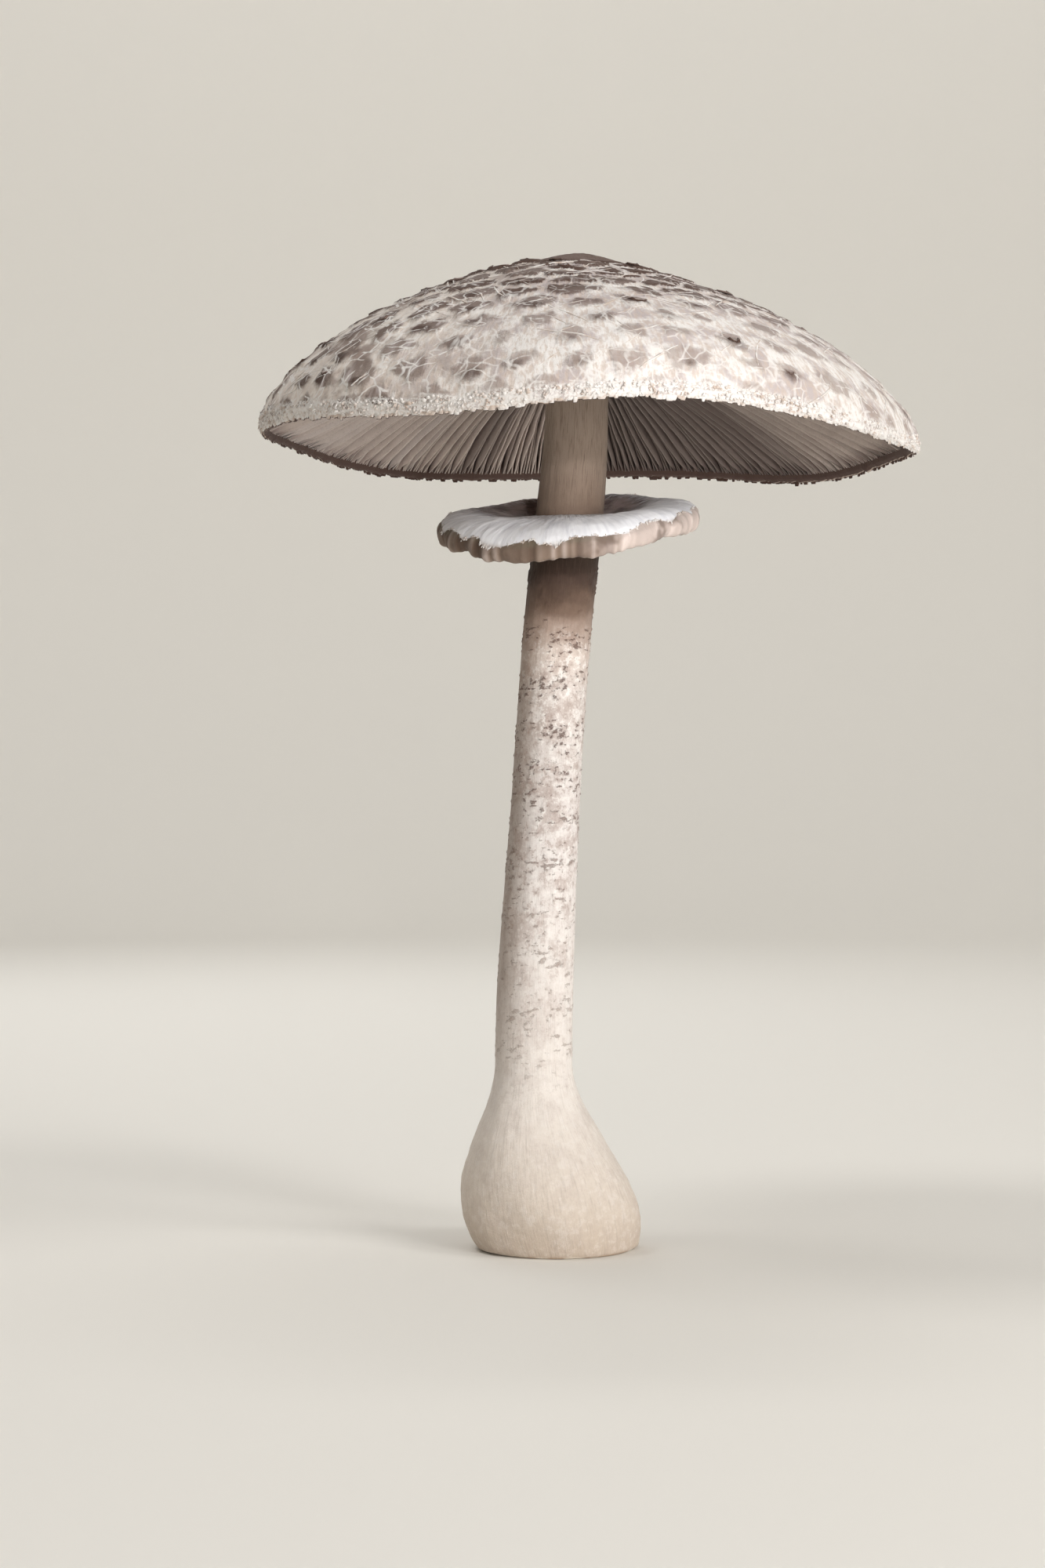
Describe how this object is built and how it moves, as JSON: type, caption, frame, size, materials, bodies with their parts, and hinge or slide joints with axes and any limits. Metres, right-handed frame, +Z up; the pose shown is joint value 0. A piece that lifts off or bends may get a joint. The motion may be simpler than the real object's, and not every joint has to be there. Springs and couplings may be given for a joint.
{
  "type": "parasol mushroom",
  "caption": "Tall parasol mushroom standing on its cut bulb: wide scaly domed cap over free gills, slender banded stem, and a loose double ring that slides on the stem.",
  "frame": {"origin": "centre of the flat cut under the bulb, on the surface that the mushroom stands on", "axes": "+Z up to the cap, +X to the side that the stem leans to, -Y to the front, where the ring droops"},
  "size_m": [0.1981, 0.1984, 0.3016],
  "materials": {
    "cap_skin": "matte",
    "gill_tissue": "matte",
    "stem_flesh": "matte",
    "ring_felt": "matte"
  },
  "bodies": {
    "mushroom": {"cap": "cap_skin", "gills": "gill_tissue", "stem": "stem_flesh"},
    "ring": {"ring": "ring_felt"}
  },
  "joints": [
    {"name": "ring_slide", "type": "slide", "parent": "mushroom", "child": "ring", "axis": [0.085, 0, 0.9964], "range_m": [-0.08, 0.02]}
  ]
}
